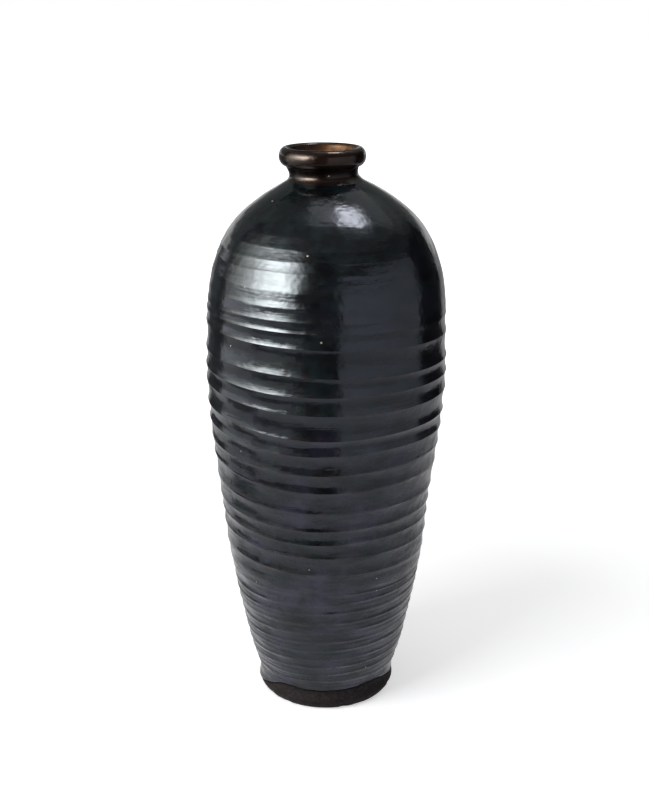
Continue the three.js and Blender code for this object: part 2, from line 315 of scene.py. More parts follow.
def tilt_share(height):
    """How much of the lower wall's tilt a height in millimetres has: none at both joints."""
    return line([(FOOT_TOP, 0), (32, 1), (90, 1), (LOWER_TOP, 0)], height)


def ridged_face(sizes, crests, low_turn, high_turn, rows_to_turn, tilt):
    """The outside of a ridged section: its angles, and each point's radius and height in metres
    and nearness to a crest.

    Row t and angle a lie at the height of the crest curve at t - a / 2 pi, so a row sinks by one
    ridge on each way round, and stops at the section's ends. The radius is the outline less four
    times the hollow's depth times f (1 - f), where f is the part of t past its last crest, and
    less a finer wave of 1 - cos 4 pi f. Crests rise and fall by slow sines of the angle and hang
    down by a bell curve round the front. The top ridges fade by the cosine of the angle from the
    right-hand side, and the lowest ones by a bell curve round the front."""
    angle = angles(sizes.columns)
    turn = np.arange((high_turn - low_turn + 1) * rows_to_turn + 1) / rows_to_turn + low_turn - 0.5
    place = np.clip(turn[:, None] - angle / (2 * pi), low_turn, high_turn)
    height = smooth(list(enumerate(crests)), place)
    uneven = 0.3 * np.sin(2 * angle + 1.7 * place) + 0.2 * np.sin(3 * angle - 2.3 * place)
    ends = ramp(np.minimum(place - low_turn, high_turn - place), 0, 0.6)
    height = height + uneven * ends + tilt / MM * np.sin(angle) * tilt_share(height)
    height = height - line(FRONT_SAG, height) * bell(angle, *SAGGING)
    part = (place + angle / (2 * pi)) % 1
    play = (np.sin(3 * angle + 2.1 * place) + 0.7 * np.sin(5 * angle - 1.7 * place)
            + 0.6 * np.sin(9 * angle + 4.3 * place))
    faded = 0.85 * ramp(height, *RIDGES_OUT) * ramp(np.cos(angle - np.radians(100)), -0.17, 0.5)
    faded += 0.6 * (1 - ramp(height, *RIDGES_IN)) * bell(angle, *LOW_FADING)
    depth = line(HOLLOWS, height) * (1 + line(PLAY, height) * play) * (1 - faded)
    twin = line(TWINS, height) * (np.cos(4 * pi * part) - 1)
    twin *= 1 - 0.7 * bell(angle, *TWIN_FADING)
    radius = smooth(OUTLINE, height) - depth * 4 * part * (1 - part) + twin
    crest = np.clip(1 - np.minimum(part, 1 - part) * 5, 0, 1) * ramp(depth, 0, 0.8)
    return angle, radius * MM, height * MM, crest


def grid_faces(rows, across):
    """The four-sided faces that join a grid of points, which is counted row by row."""
    corner = (np.arange(rows - 1)[:, None] * across + np.arange(across - 1)[None, :]).ravel()
    return np.stack([corner, corner + 1, corner + across + 1, corner + across], axis=1)


def grid_object(name, points, layers, columns):
    """A closed mesh object from rows of points, joined face by face along rows and columns, whose
    last row meets its first and whose last column meets its first, and per-point layers."""
    faces = grid_faces(points.shape[0], columns + 1)
    mesh = bpy.data.meshes.new(name)
    mesh.from_pydata(points.reshape(-1, 3).tolist(), [], faces.tolist())
    for layer, values in layers.items():
        spread = np.broadcast_to(values, points.shape[:2]).astype(np.float32).ravel()
        mesh.attributes.new(layer, "FLOAT", "POINT").data.foreach_set("value", spread)
    return finished(name, mesh)


def finished(name, mesh):
    """Merges doubles, shades smooth but for sharp edges, and adds the object."""
    work = bmesh.new()
    work.from_mesh(mesh)
    bmesh.ops.remove_doubles(work, verts=work.verts, dist=MERGED)
    bmesh.ops.dissolve_degenerate(work, edges=work.edges, dist=DISSOLVED)
    work.to_mesh(mesh)
    work.free()
    mesh.shade_smooth()
    mesh.set_sharp_from_angle(angle=radians(SHARP))
    obj = bpy.data.objects.new(name, mesh)
    bpy.context.scene.collection.objects.link(obj)
    return obj


def swung(radius, height, angle):
    """Points at an angle from the front: the radius times its sine and minus its cosine, and the
    height."""
    return np.stack([radius * np.sin(angle), -radius * np.cos(angle), height + 0 * angle], axis=-1)


def turned(profile, angle):
    """Rows of points from (radius, height) rows turned about the axis."""
    return swung(profile[:, :1], profile[:, 1:], angle)


def dress(obj, node, material):
    """Puts the material on a section, which stands for its CAD node and rides on the vase."""
    obj.data.materials.append(material)
    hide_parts(node)
    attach(obj, "root")


def add(tree, kind, settings=None, **links):
    """Adds a node with its settings, and links its inputs to sockets or sets them. An input is
    given by its name, with _ for a space, or by its number as i0, i1 and so on."""
    node = tree.nodes.new(kind)
    for key, value in (settings or {}).items():
        setattr(node, key, value)
    for key, value in links.items():
        numbered = key[0] == "i" and key[1:].isdigit()
        target = node.inputs[int(key[1:]) if numbered else key.replace("_", " ")]
        if isinstance(value, bpy.types.NodeSocket):
            tree.links.new(value, target)
        else:
            target.default_value = value
    return node


def blank_material(name):
    """A new material, and its tree with no node in it."""
    material = bpy.data.materials.new(name)
    material.use_nodes = True
    material.node_tree.nodes.clear()
    return material, material.node_tree


def per_metre(size):
    """How many marks of a size in millimetres fit in a metre, which is a noise's scale."""
    return 1 / (size * MM)


def stretched(across, tall):
    """A noise's scale along x, y and z for marks so wide and so tall, in millimetres."""
    return (per_metre(across), per_metre(across), per_metre(tall))


def stoneware(name, glaze, thin_glaze, colours, roughness, tint, clouded):
    """Iron-glazed stoneware, fired glossy. The glaze is thick and near black in the hollows with
    milky violet and green-black clouds, breaks to a thin reddish brown on crests, and stops at the
    foot, where the dull clay is bare. The tint colours what its gloss mirrors, and clouded is the
    share of the clouds, blooms and throwing marks that it shows."""
    material, tree = blank_material(name)
    place = add(tree, "ShaderNodeTexCoord").outputs["Object"]
    crest, cover, rim, under, dimples, run, painted_lip_shade, pool = (
        add(tree, "ShaderNodeAttribute", {"attribute_name": layer}).outputs["Fac"]
        for layer in ("crest", "cover", "rim", "under", "dimples", "run", "painted_lip_shade", "pool")
    )

    # how much of the clouds and blooms shows: all near the foot, and less above 150 mm
    height = add(tree, "ShaderNodeSeparateXYZ", Vector=place).outputs["Z"]
    low_down = add(tree, "ShaderNodeMapRange", Value=height, From_Min=150 * MM,
                   From_Max=250 * MM, To_Min=clouded, To_Max=0.28 * clouded).outputs[0]

    # clouds 25 mm and 15 mm wide in the glaze's colour, and streaks that break it on the crests
    clouds = add(tree, "ShaderNodeTexNoise", Vector=place, Scale=per_metre(25),
                 Detail=3.0).outputs["Fac"]
    patches = add(tree, "ShaderNodeTexNoise", Vector=place, Scale=per_metre(15.15), Detail=4.0,
                  Roughness=0.6).outputs["Fac"]
    breaks = add(tree, "ShaderNodeTexNoise", Vector=place, Scale=per_metre(7.143),
                 Detail=4.0).outputs["Fac"]
    thin = add(tree, "ShaderNodeMapRange", Value=breaks, From_Min=0.5, From_Max=0.75).outputs[0]
    thin = add(tree, "ShaderNodeMath", {"operation": "MULTIPLY"}, i0=thin, i1=crest).outputs[0]
    violet = add(tree, "ShaderNodeMapRange", Value=clouds, From_Min=0.46, From_Max=0.62).outputs[0]
    violet = add(tree, "ShaderNodeMath", {"operation": "MULTIPLY"}, i0=violet,
                 i1=low_down).outputs[0]
    green = add(tree, "ShaderNodeMapRange", Value=patches, From_Min=0.5, From_Max=0.62,
                To_Max=clouded).outputs[0]
    deep = add(tree, "ShaderNodeMix", {"data_type": "RGBA"}, i0=violet, i6=glaze,
               i7=tuple(colours.violet_black)).outputs[2]
    deep = add(tree, "ShaderNodeMix", {"data_type": "RGBA"}, i0=green, i6=deep,
               i7=tuple(colours.green_black)).outputs[2]
    glazed = add(tree, "ShaderNodeMix", {"data_type": "RGBA"}, i0=thin, i6=deep,
                 i7=thin_glaze).outputs[2]
    # amber where the glaze ran thin, with painted light: brightest on the mouth's lit right side
    ran = add(tree, "ShaderNodeMapRange", Value=breaks, From_Min=0.38, From_Max=0.6,
              To_Min=0.3, To_Max=1.0).outputs[0]
    ran = add(tree, "ShaderNodeMath", {"operation": "MULTIPLY"}, i0=run, i1=ran).outputs[0]
    glazed = add(tree, "ShaderNodeMix", {"data_type": "RGBA"}, i0=ran, i6=glazed,
                 i7=tuple(colours.amber)).outputs[2]
    rough = add(tree, "ShaderNodeMapRange", Value=patches, From_Min=0.35, From_Max=0.65,
                To_Min=roughness - 0.04, To_Max=roughness + 0.06).outputs[0]
    rough = add(tree, "ShaderNodeMath", {"operation": "MULTIPLY_ADD"}, i0=run, i1=0.2,
                i2=rough).outputs[0]
    # where the glaze pooled round the neck's foot it is smooth and mirrors the lip's underside
    rough = add(tree, "ShaderNodeMath", {"operation": "MULTIPLY_ADD"}, i0=pool, i1=-0.1,
                i2=rough).outputs[0]
    thrown = add(tree, "ShaderNodeMapRange", Value=pool, To_Min=0.5 * clouded,
                 To_Max=0.0).outputs[0]
    sagged = add(tree, "ShaderNodeMapRange", Value=pool, To_Min=0.42, To_Max=0.08).outputs[0]

    # the glaze's skin: throwing marks 2.5 mm apart that run round the pot, dents 6 mm tall that are
    # deepest in the lower wall, a slow sag 12 mm wide, soft dimples 4 mm apart and a fine ripple
    round_it = add(tree, "ShaderNodeVectorMath", {"operation": "MULTIPLY"}, i0=place,
                   i1=stretched(26.3, 2.5)).outputs[0]
    marks = add(tree, "ShaderNodeTexNoise", Vector=round_it, Scale=1.0, Detail=3.0).outputs["Fac"]
    round_it = add(tree, "ShaderNodeVectorMath", {"operation": "MULTIPLY"}, i0=place,
                   i1=stretched(38.5, 5.882)).outputs[0]
    dents = add(tree, "ShaderNodeTexNoise", Vector=round_it, Scale=1.0, Detail=2.0).outputs["Fac"]
    hand = add(tree, "ShaderNodeMapRange", Value=height, From_Min=100 * MM, From_Max=130 * MM,
               To_Min=0.6, To_Max=0.12).outputs[0]
    slow, wide, fine = (
        add(tree, "ShaderNodeTexNoise", Vector=place, Scale=per_metre(size),
            Detail=detail).outputs["Fac"]
        for size, detail in ((11.765, 2.0), (4.167, 1.0), (1.25, 2.0))
    )
    strength = add(tree, "ShaderNodeMapRange", Value=dimples, To_Min=0.3, To_Max=1.0).outputs[0]
    skin = add(tree, "ShaderNodeBump", Distance=0.25 * MM, Strength=thrown, Height=marks)
    skin = add(tree, "ShaderNodeBump", Distance=1.0 * MM, Strength=sagged, Height=slow,
               Normal=skin.outputs[0])
    skin = add(tree, "ShaderNodeBump", Distance=0.3 * MM, Strength=strength, Height=wide,
               Normal=skin.outputs[0])
    skin = add(tree, "ShaderNodeBump", Distance=0.9 * MM, Strength=hand, Height=dents,
               Normal=skin.outputs[0])
    skin = add(tree, "ShaderNodeBump", Distance=0.06 * MM, Strength=0.4, Height=fine,
               Normal=skin.outputs[0])
    gloss = add(tree, "ShaderNodeBsdfPrincipled", Base_Color=glazed, Roughness=rough, IOR=1.5,
                Normal=skin.outputs[0], Specular_Tint=to_linear(tint))

    # matt blooms of iron crystals, in blots and dashes that are thickest in the lower wall
    along_it = add(tree, "ShaderNodeVectorMath", {"operation": "MULTIPLY"}, i0=place,
                   i1=stretched(23.8, 6.667)).outputs[0]
    dashes = add(tree, "ShaderNodeTexNoise", Vector=along_it, Scale=1.0, Detail=4.0,
                 Roughness=0.62).outputs["Fac"]
    dashes = add(tree, "ShaderNodeMapRange", Value=dashes, From_Min=0.42, From_Max=0.66).outputs[0]
    bloom = add(tree, "ShaderNodeMath", {"operation": "MULTIPLY"}, i0=dashes, i1=0.65).outputs[0]
    bloom = add(tree, "ShaderNodeMath", {"operation": "MULTIPLY"}, i0=bloom, i1=low_down).outputs[0]
    matt = add(tree, "ShaderNodeBsdfPrincipled", Base_Color=deep, Roughness=0.5, IOR=1.5,
               Specular_IOR_Level=0.22, Normal=skin.outputs[0])
    gloss = add(tree, "ShaderNodeMixShader", i0=bloom, i1=gloss.outputs[0], i2=matt.outputs[0])
    # painted shade: a dull black ring under the lip, where the lip shades the neck, with no gloss
    painted_shade = add(tree, "ShaderNodeBsdfDiffuse", Color=to_linear("#080504"))
    gloss = add(tree, "ShaderNodeMixShader", i0=painted_lip_shade, i1=gloss.outputs[0], i2=painted_shade.outputs[0])

    # bare clay with a tooth of 1 mm grog, drawn about twice as coarse so that it shows, and worn to
    # olive brown along the foot's lower edge
    grog = add(tree, "ShaderNodeTexNoise", Vector=place, Scale=per_metre(2.381), Detail=5.0,
               Roughness=0.7).outputs["Fac"]
    grain = add(tree, "ShaderNodeMapRange", Value=grog, From_Min=0.34, From_Max=0.66,
                To_Min=0.25, To_Max=1.8).outputs[0]
    worn = add(tree, "ShaderNodeMath", {"operation": "MULTIPLY"}, i0=rim, i1=green).outputs[0]
    clay = add(tree, "ShaderNodeMix", {"data_type": "RGBA"}, i0=worn, i6=tuple(colours.bare_clay),
               i7=tuple(colours.foot_rim)).outputs[2]
    clay = add(tree, "ShaderNodeVectorMath", {"operation": "SCALE"}, i0=clay, Scale=grain)
    tooth = add(tree, "ShaderNodeBump", Distance=0.3 * MM, Strength=0.8, Height=grog)
    dull = add(tree, "ShaderNodeBsdfPrincipled", Base_Color=clay.outputs[0], Roughness=0.75,
               Normal=tooth.outputs[0], Specular_IOR_Level=0.12)
    # a painted shadow line under the glaze's thick edge, in the same painted black
    painted_shadow_line = add(tree, "ShaderNodeMath", {"operation": "MULTIPLY"}, i0=under, i1=0.85)
    dull = add(tree, "ShaderNodeMixShader", i0=painted_shadow_line.outputs[0], i1=dull.outputs[0],
               i2=painted_shade.outputs[0])
    both = add(tree, "ShaderNodeMixShader", i0=cover, i1=dull.outputs[0], i2=gloss.outputs[0])
    add(tree, "ShaderNodeOutputMaterial", Surface=both.outputs[0])
    return material


def blue_black_glaze():
    """The wall's glaze: blue-black where it lies thick."""
    colours = bpy.context.scene.vase_colours
    return bpy.data.materials.get("blue_black_iron_glaze") or stoneware(
        "blue_black_iron_glaze", tuple(colours.blue_black), tuple(colours.brown_break), colours,
        roughness=0.17, tint="#e7edfd", clouded=1.0,
    )


def brown_black_glaze():
    """The glaze of the neck and lip: brown-black, and amber where it ran thin inside the mouth, and
    painted light that makes the amber brightest on the mouth's lit right side.
    """
    colours = bpy.context.scene.vase_colours
    return bpy.data.materials.get("brown_black_iron_glaze") or stoneware(
        "brown_black_iron_glaze", tuple(colours.brown_black), tuple(colours.amber), colours,
        roughness=0.22, tint="#d7c2ba", clouded=0.3,
    )


def melted_grit(colour):
    """Quartz grit that melted at the glaze's surface: a pale, glassy speck."""
    material, tree = blank_material("melted_grit")
    place = add(tree, "ShaderNodeTexCoord").outputs["Object"]
    mottle = add(tree, "ShaderNodeTexNoise", Vector=place, Scale=per_metre(0.6667),
                 Detail=2.0).outputs["Fac"]
    shade = add(tree, "ShaderNodeMapRange", Value=mottle, To_Min=0.5, To_Max=1.3).outputs[0]
    tinted = add(tree, "ShaderNodeVectorMath", {"operation": "SCALE"}, i0=colour[:3], Scale=shade)
    shader = add(tree, "ShaderNodeBsdfPrincipled", Base_Color=tinted.outputs[0], Roughness=0.3,
                 IOR=1.5)
    add(tree, "ShaderNodeOutputMaterial", Surface=shader.outputs[0])
    return material


def lap_top(radius, level, ledge, tongue, slip, bore):
    """The rows over a section's top: in along the ledge, up the tongue and over it to the bore."""
    inner = radius - ledge - slip
    return np.array([(inner, level), (inner, level + tongue), (bore, level + tongue)])


def lap_foot(radius, level, ledge, tongue, bore):
    """The rows under a section's foot: over the tongue below, down its outside and to the ledge."""
    inner = radius - ledge
    return np.array([(bore, level + tongue), (inner, level + tongue), (inner, level)])


def section(name, face, low, sizes, top, bore_top, foot):
    """A closed thrown section: its ridged or smooth outside, the lap on top, the cavity's wall and
    the lap at its foot."""
    angle, radius, height, layers = face
    outside = swung(radius, height, angle)
    outside[..., 0] += line(WANDER, height / MM) * MM
    cavity = inner_profile(low + sizes.tongue + sizes.slip, bore_top, sizes.wall)
    inside = turned(np.concatenate([top, cavity[1:-1], foot]), angle)
    points = np.concatenate([outside, inside, outside[:1]])
    points[..., 0] = leaned(points[..., 0], points[..., 2], sizes.lean)
    spread = {
        key: np.concatenate([
            np.broadcast_to(values, radius.shape),
            np.zeros(inside.shape[:2]),
            np.broadcast_to(values, radius.shape)[:1],
        ])
        for key, values in layers.items()
    }
    spread["cover"][len(outside) : -1] = 1
    return grid_object(name, points, spread, sizes.columns)


def wall_section(name, face, low, high, sizes):
    """A section of the body between two heights in millimetres, with the wall's laps."""
    low, high = low * MM, high * MM
    bore_top = high + sizes.tongue
    profile = inner_profile(low + sizes.tongue + sizes.slip, bore_top, sizes.wall)
    top = lap_top(outer_radius(high), high, sizes.ledge, sizes.tongue, sizes.slip, profile[0, 0])
    foot = lap_foot(outer_radius(low), low, sizes.ledge, sizes.tongue + sizes.slip, profile[-1, 0])
    return section(name, face, low, sizes, top, bore_top, foot)


def glazed_layers(angle, radius, height, crest, glaze):
    """Lowers the bare clay under the glaze's edge by the glaze's thickness, swells the edge to a
    roll 1 mm wide, and returns the radius with the layers that the glazes read."""
    cover, above = glaze_cover(angle, height)
    radius = radius - glaze * (1 - cover) + 0.3 * glaze * bell(above / MM, *GLAZE_ROLL)
    rim = ramp(height / MM + 0.6 * np.sin(5 * angle), *WORN)
    dimples = bell(np.degrees(angle), *DIMPLED_ROUND) * bell(height / MM, *DIMPLED_UP)
    # a painted shadow line on the bare clay just below the glaze's edge
    under = bell(above / MM, *GLAZE_SHADOW)
    return radius, {"crest": crest, "cover": cover, "rim": rim + 0 * angle, "under": under,
                    "dimples": dimples}


def collar_piece(name, profile, top, foot, sizes, amber_from, amber_over):
    """A smooth turned piece of the mouth, closed by its laps, with the lean over its height. From
    the row amber_from on, and over amber_over rows, its glaze thins to amber, and painted light
    makes the amber brightest at the mouth's lit right side. A ring of painted shade darkens it
    under the lip."""
    angle = angles(sizes.columns)
    rows = np.concatenate([profile, top, foot, profile[:1]])
    points = turned(rows, angle)
    points[..., 0] += line(WANDER, points[..., 2] / MM) * MM
    points[..., 0] = leaned(points[..., 0], points[..., 2], sizes.lean)
    shape = points.shape[:2]
    # painted shade: a dull black ring over the neck's top and the lip's underside, under the lip
    painted_lip_shade = 0.8 * bell(points[..., 2] / MM, *LIP_SHADE_RING)
    # painted light: the amber is brightest at the mouth's lit right side, a tenth of it at the left
    thin = 0.1 + 0.9 * ramp(np.cos(angle - radians(115)), 0, 0.7)
    run = ramp(np.arange(shape[0])[:, None], amber_from, amber_from + amber_over) * thin
    run[-1] = 0
    layers = {"cover": np.ones(shape), "run": run, "painted_lip_shade": painted_lip_shade}
    return grid_object(name, points, layers, sizes.columns)


class VASE_OT_foot(bpy.types.Operator):
    """Turned foot of bare iron-washed clay, with the vessel's floor and a shallow recess below"""

    bl_idname = "vase.foot"
    bl_label = "Turned foot"

    def execute(self, context):
        sizes = context.scene.vase_sizes
        angle = angles(sizes.columns)
        outside = along(FOOT_OUTSIDE, FOOT_ROWS)
        radius, height = outside[:, :1] + 0 * angle, outside[:, 1:]
        radius, layers = glazed_layers(angle, radius, height, 0 * angle, sizes.glaze)
        level = FOOT_TOP * MM
        bore = inner_profile(level, level + sizes.tongue, sizes.wall)[0, 0]
        over = lap_top(CREASE_RADIUS * MM, level, sizes.ledge, sizes.tongue, sizes.slip, bore)
        cove = np.array([(bore, 0)]) + np.array(FLOOR_COVE) * MM
        middle = np.array([(0, FLOOR_COVE[-1][1])]) * MM
        under = turned(np.array(FOOT_RECESS) * MM, angle)
        inside = turned(np.concatenate([over, cove, middle]), angle)
        chips = np.sin(7 * angle) * np.sin(13 * angle - 2.2)
        chips = chips + 0.6 * np.sin(29 * angle) * np.sin(5 * angle)
        radius = radius - MM * np.maximum(chips, 0) * line(CHIPPED, height / MM)
        face = swung(radius, height, angle)
        face[..., 0] += line(WANDER, height / MM) * MM
        points = np.concatenate([under, face, inside])
        spread = {
            key: np.concatenate([
                np.zeros(under.shape[:2]), np.broadcast_to(values, face.shape[:2]),
                np.full(inside.shape[:2], 1.0 if key == "cover" else 0.0),
            ])
            for key, values in layers.items()
        }
        obj = grid_object("turned_foot", points, spread, sizes.columns)
        dress(obj, "foot_base", blue_black_glaze())
        return {"FINISHED"}


class VASE_OT_lower_body(bpy.types.Operator):
    """First thrown section, with fine ridges that climb to the right"""

    bl_idname = "vase.lower_body"
    bl_label = "Lower body"

    def execute(self, context):
        sizes = context.scene.vase_sizes
        angle, radius, height, crest = ridged_face(
            sizes, FINE_CRESTS, 0, len(FINE_CRESTS) - 1, FINE_ROWS, sizes.tilt
        )
        radius, layers = glazed_layers(angle, radius, height, crest, sizes.glaze)
        face = angle, radius, height, layers
        obj = wall_section("lower_body_glazed", face, FOOT_TOP, LOWER_TOP, sizes)
        dress(obj, "lower_body", blue_black_glaze())
        return {"FINISHED"}


class VASE_OT_upper_body(bpy.types.Operator):
    """Widest section, with broad ridges that wind up against the wheel's turn"""

    bl_idname = "vase.upper_body"
    bl_label = "Upper body"

    def execute(self, context):
        sizes = context.scene.vase_sizes
        angle, radius, height, crest = ridged_face(
            sizes, BROAD_CRESTS, 0, SHOULDER_TURN, BROAD_ROWS, 0
        )
        radius, layers = glazed_layers(angle, radius, height, crest, sizes.glaze)
        face = angle, radius, height, layers
        obj = wall_section("upper_body_glazed", face, LOWER_TOP, UPPER_TOP, sizes)
        dress(obj, "upper_body", blue_black_glaze())
        return {"FINISHED"}


class VASE_OT_shoulder(bpy.types.Operator):
    """Domed section, whose ridges fade towards the neck"""

    bl_idname = "vase.shoulder"
    bl_label = "Shoulder"

    def execute(self, context):
        sizes = context.scene.vase_sizes
        angle, radius, height, crest = ridged_face(
            sizes, BROAD_CRESTS, SHOULDER_TURN, NECK_TURN, BROAD_ROWS, 0
        )
        radius, layers = glazed_layers(angle, radius, height, crest, sizes.glaze)
        layers["pool"] = ramp(height / MM, *POOLING)
        low, cavity_top = UPPER_TOP * MM, CAVITY_TOP * MM
        top = np.concatenate([
            lap_top(NECK_FOOT_RADIUS * MM, NECK_FOOT * MM, NECK_LEDGE * MM, MOUTH_TONGUE * MM,
                    sizes.slip, sizes.bore),
            [(sizes.bore, BORE_FOOT * MM)],
        ])
        bore = inner_profile(low + sizes.tongue + sizes.slip, cavity_top, sizes.wall)[-1, 0]
        foot = lap_foot(outer_radius(low), low, sizes.ledge, sizes.tongue + sizes.slip, bore)
        face = angle, radius, height, layers
        obj = section("shoulder_glazed", face, low, sizes, top, cavity_top, foot)
        dress(obj, "shoulder", blue_black_glaze())
        return {"FINISHED"}


class VASE_OT_neck(bpy.types.Operator):
    """Short neck, luted on a little off centre"""

    bl_idname = "vase.neck"
    bl_label = "Neck"

    def execute(self, context):
        sizes = context.scene.vase_sizes
        profile = along(NECK_OUTSIDE, NECK_ROWS)
        top = lap_top(LIP_FOOT_RADIUS * MM, LIP_FOOT * MM, LIP_LEDGE * MM, MOUTH_TONGUE * MM,
                      sizes.slip, sizes.bore)
        foot = lap_foot(NECK_FOOT_RADIUS * MM, NECK_FOOT * MM, NECK_LEDGE * MM, MOUTH_TONGUE * MM,
                        sizes.bore)
        obj = collar_piece("neck_glazed", profile, top, foot, sizes, NECK_ROWS, 2)
        dress(obj, "neck_collar", brown_black_glaze())
        return {"FINISHED"}


class VASE_OT_lip(bpy.types.Operator):
    """Thick rolled lip, with the flare of the mouth inside it"""

    bl_idname = "vase.lip"
    bl_label = "Rolled lip"

    def execute(self, context):
        sizes = context.scene.vase_sizes
        profile = along(LIP_OUTSIDE, LIP_ROWS)
        foot = lap_foot(LIP_FOOT_RADIUS * MM, LIP_FOOT * MM, LIP_LEDGE * MM, MOUTH_TONGUE * MM,
                        sizes.bore)
        obj = collar_piece("lip_glazed", profile, foot[:1], foot[1:], sizes, LIP_INSIDE, 8)
        dress(obj, "rolled_lip", brown_black_glaze())
        return {"FINISHED"}


class VASE_OT_specks(bpy.types.Operator):
    """Pale grit that melted at the surface of the glaze"""

    bl_idname = "vase.specks"
    bl_label = "Grit specks"

    def execute(self, context):
        degrees, height, width = np.array(SPECKS, float).T
        angle = np.radians(degrees)[:, None, None]
        height = height[:, None, None] * MM
        half = width[:, None, None] * MM * SPECK_HALF
        radius = outer_radius(height)
        slope = (outer_radius(height + 0.5 * MM) - outer_radius(height - 0.5 * MM)) / MM
        radius = radius - line(HOLLOWS, height / MM) * 0.5 * MM
        # each speck is a lens of latitudes and longitudes, a third as thick as it is wide
        up = np.linspace(0, pi, SPECK_ROWS)[None, :, None]
        round_it = np.linspace(0, 2 * pi, SPECK_POINTS)[None, None, :]
        side, rise = (np.sin(up) * wave(round_it) * half for wave in (np.cos, np.sin))
        out = np.cos(up) * half * SPECK_FLAT
        square = np.hypot(1, slope)
        outward = radius + out / square + rise * slope / square
        level = height - out * slope / square + rise / square
        x = outward * np.sin(angle) + side * np.cos(angle)
        y = -outward * np.cos(angle) + side * np.sin(angle)
        x = leaned(x + line(WANDER, level / MM) * MM, level, context.scene.vase_sizes.lean)
        points = np.stack([x, y, level], axis=-1)
        # one lens's faces, turned round so that they look outward, and then those of every lens
        faces = grid_faces(SPECK_ROWS, SPECK_POINTS)[:, [0, 3, 2, 1]]
        first = np.arange(len(SPECKS))[:, None, None] * SPECK_ROWS * SPECK_POINTS
        faces = (faces[None] + first).reshape(-1, 4)
        mesh = bpy.data.meshes.new("grit_specks")
        mesh.from_pydata(points.reshape(-1, 3).tolist(), [], faces.tolist())
        obj = finished("grit_specks", mesh)
        obj.data.materials.append(melted_grit(tuple(context.scene.vase_colours.grit)))
        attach(obj, "root")
        return {"FINISHED"}


# Cards and flags round the vase, seen only in its gloss: name, angles from and to in degrees,
# radius and height in metres at the lower and the upper edge, brightness against white, and tint
CARDS = [
    ("softbox_left", -124, -20, (1.25, 0.18), (1.25, 1.5), 36, "#fcfff3"),
    ("black_flag_front", -20, 12.5, (1.25, 0), (1.25, 1.5), 0.09, "#c8d2d8"),
    ("black_cloth_front", -30, 12, (0.45, 0.002), (1.25, 0.002), 0.1, "#c8d2d8"),
    ("grey_cloth_left", -72, -30, (0.47, 0.002), (0.76, 0.002), 0.2, "#dfe4ee"),
    ("grey_cloth_far_left", -112, -72, (0.3, 0.002), (0.46, 0.002), 0.2, "#dfe4ee"),
    ("pale_board_left", -112, -72, (1.24, 0), (1.24, 0.26), 1.8, "#f8fbff"),
    ("grey_panel_right", 13, 95, (1.25, 0), (1.25, 0.9), 0.9, "#ecf2f8"),
    ("black_flag_right", 96, 140, (1.25, 0), (1.25, 0.9), 0.02, "#c8d2d8"),
    ("black_cloth_right", 96, 140, (0.75, 0.002), (1.25, 0.002), 0.02, "#c8d2d8"),
    ("black_flag_left", -150, -112, (1.25, 0), (1.25, 0.4), 0.17, "#c8d2d8"),
    ("black_cloth_left", -150, -112, (0.58, 0.002), (1.25, 0.002), 0.1, "#c8d2d8"),
    ("dark_ceiling", -180, 180, (1.25, 1.5), (0.01, 1.9), 0.3, "#e6efe9"),
    ("black_cloth_overhead", 152, 222, (1.22, 1.49), (0.6, 1.69), 0.03, "#c8d2d8"),
    ("dark_wall_right", 12.5, 140, (1.27, 0.9), (1.27, 1.5), 0.14, "#e6efe9"),
    ("grey_board_high_right", 112, 152, (1.24, 1.12), (1.24, 1.48), 0.32, "#eef6f2"),
    ("grey_cloth_high_right", 112, 152, (1.22, 1.485), (0.62, 1.68), 0.72, "#eef6f2"),
    ("dark_wall_back", 140, 236, (1.27, 0.55), (1.27, 1.5), 0.22, "#e6efe9"),
]

# The grey panel's brightness, as pairs of angle in degrees and share
PANEL_ACROSS = [(13, 1.2), (32, 1.2), (60, 1), (95, 0.62)]

# The softbox's brightness: angle in degrees with the shares low down and high up, and pairs of
# height in metres and share
SOFTBOX_ACROSS = [
    (-124, 0, 0), (-114, 0.014, 0), (-108, 0.07, 0.02), (-98, 0.15, 0.05), (-89, 0.25, 0.13),
    (-81, 0.38, 0.23), (-73, 0.55, 0.43), (-66, 0.72, 0.66), (-59, 0.84, 0.8), (-53, 0.9, 0.9),
    (-47, 0.88, 0.92), (-40, 0.76, 0.84), (-35, 0.5, 0.52), (-29, 0.14, 0.12), (-23, 0.02, 0.01),
    (-20, 0, 0),
]
SOFTBOX_UP = [
    (0.18, 0), (0.24, 0.06), (0.32, 0.34), (0.42, 0.52), (0.5, 0.82), (0.6, 1.02), (0.8, 1.05),
    (0.95, 0.76), (1.1, 0.44), (1.3, 0.16), (1.5, 0.06),
]

# How far the softbox's rounded lower edge rises, as pairs of angle in degrees and height in metres
SOFTBOX_RISE = [(-124, 0), (-53, 0), (-37, 0.1), (-28, 0.2), (-20, 0.25)]

# Heights in metres over which the panel fades at its top, over which the softbox's shares low down
# turn into those high up, and over which, going down, the rise of its lower edge sets in
PANEL_FADING, SOFTBOX_TURNING, SOFTBOX_RISING = (0.7, 0.9), (0.42, 0.62), (0.9, 0.5)

# Points along each side of a card, and half the floor's side in metres
CARD_POINTS, FLOOR_HALF = 33, 6

# Lamps: name, place and aim in metres, width and height in metres, and brightness against white
LAMPS = [
    ("key_left", (-0.935, -0.785, 1.655), (0, 0, 0.2), 1.0, 0.8, 8),
    ("overhead_right", (0.37, 0.08, 1.57), (0.05, 0, 0.3), 0.35, 0.37, 16.5),
    ("dim_panel_overhead", (-0.05, 0.08, 1.57), (-0.05, 0.08, 0), 0.4, 0.42, 1.2),
]

# The photograph's camera: its place in metres, how far down it looks in degrees, its lens in
# millimetres, and the picture's shift sideways as a share of its height
CAMERA_PLACE = (0, -0.9, 0.504)
CAMERA_DIP = 17.697
CAMERA_LENS = 58.669
CAMERA_SHIFT = -1.3 / 812


